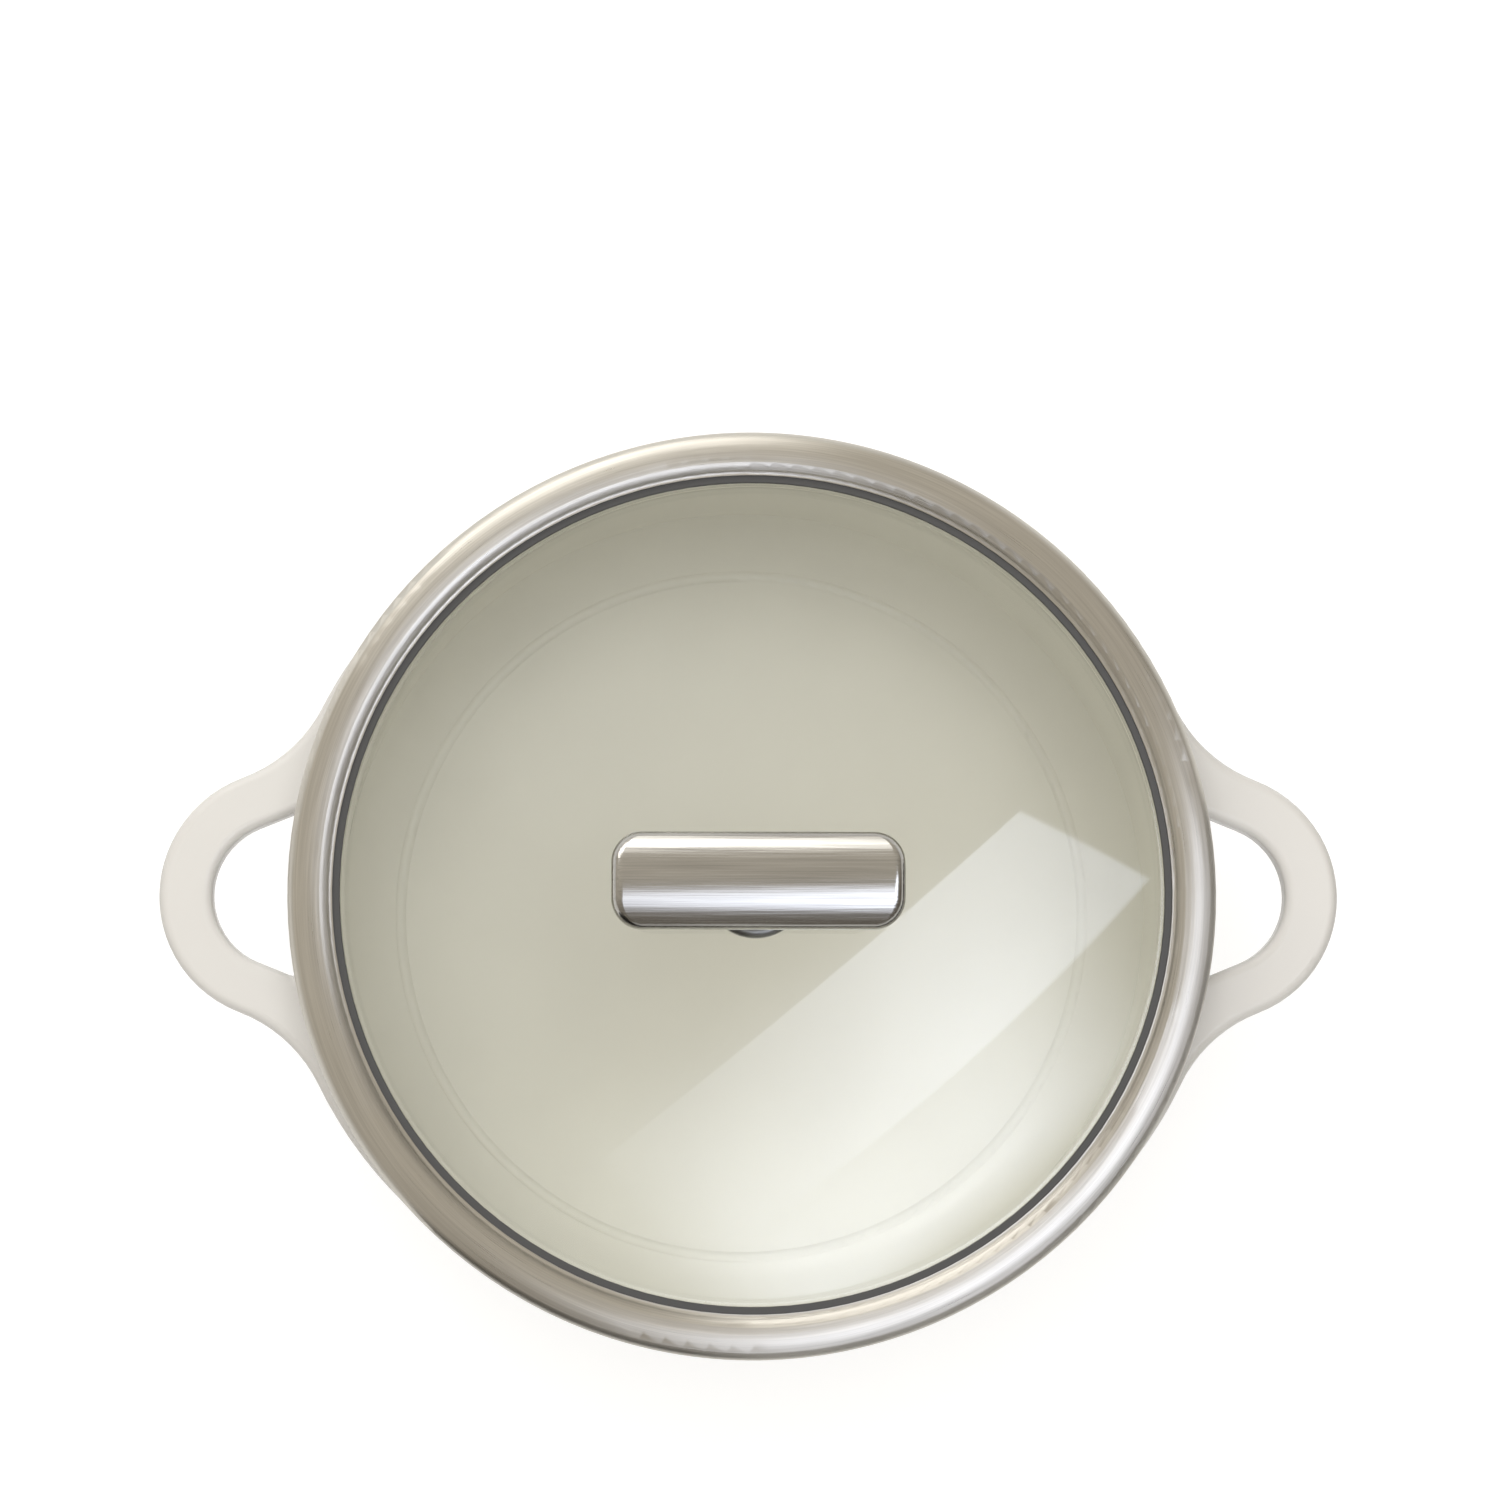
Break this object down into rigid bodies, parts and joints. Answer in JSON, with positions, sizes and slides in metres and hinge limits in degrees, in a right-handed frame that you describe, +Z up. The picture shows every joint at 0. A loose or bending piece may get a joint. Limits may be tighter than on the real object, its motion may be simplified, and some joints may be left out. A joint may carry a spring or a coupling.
{
  "type": "saucepan with glass lid",
  "caption": "Round cast saucepan in white coating with integral loop handles and a lift-off domed glass lid with a steel rim, seal and bar handle.",
  "frame": {"origin": "on the surface it stands on, under the middle of the base", "axes": "+Z up along the pan's axis, +X through one loop handle"},
  "size_m": [0.3234, 0.25, 0.1536],
  "materials": {
    "white_coating": "cast aluminium under a gloss white ceramic coating, pale grey-beige inside",
    "base_steel": "turned stainless plate",
    "rim_steel": "stainless strip brushed round the rim",
    "seal_silicone": "matt dark grey silicone",
    "lid_glass": "clear tempered glass",
    "handle_steel": "stainless brushed along the bar",
    "collar_steel": "satin stainless",
    "fastener_steel": "plain stainless fasteners"
  },
  "bodies": {
    "pot": {"pot_body": "white_coating", "base_plate": "base_steel"},
    "lid": {"lid_rim": "rim_steel", "rim_seal": "seal_silicone", "lid_glass": "lid_glass", "lid_handle": "handle_steel", "handle_collar": "collar_steel", "upper_gasket": "seal_silicone", "lower_gasket": "seal_silicone", "flat_washer": "fastener_steel", "lock_washer": "fastener_steel", "handle_screw": "fastener_steel"}
  },
  "joints": [
    {"name": "lid_lift", "type": "slide", "parent": "pot", "child": "lid", "axis": [0, 0, 1], "range_m": [0, 0.16]}
  ]
}
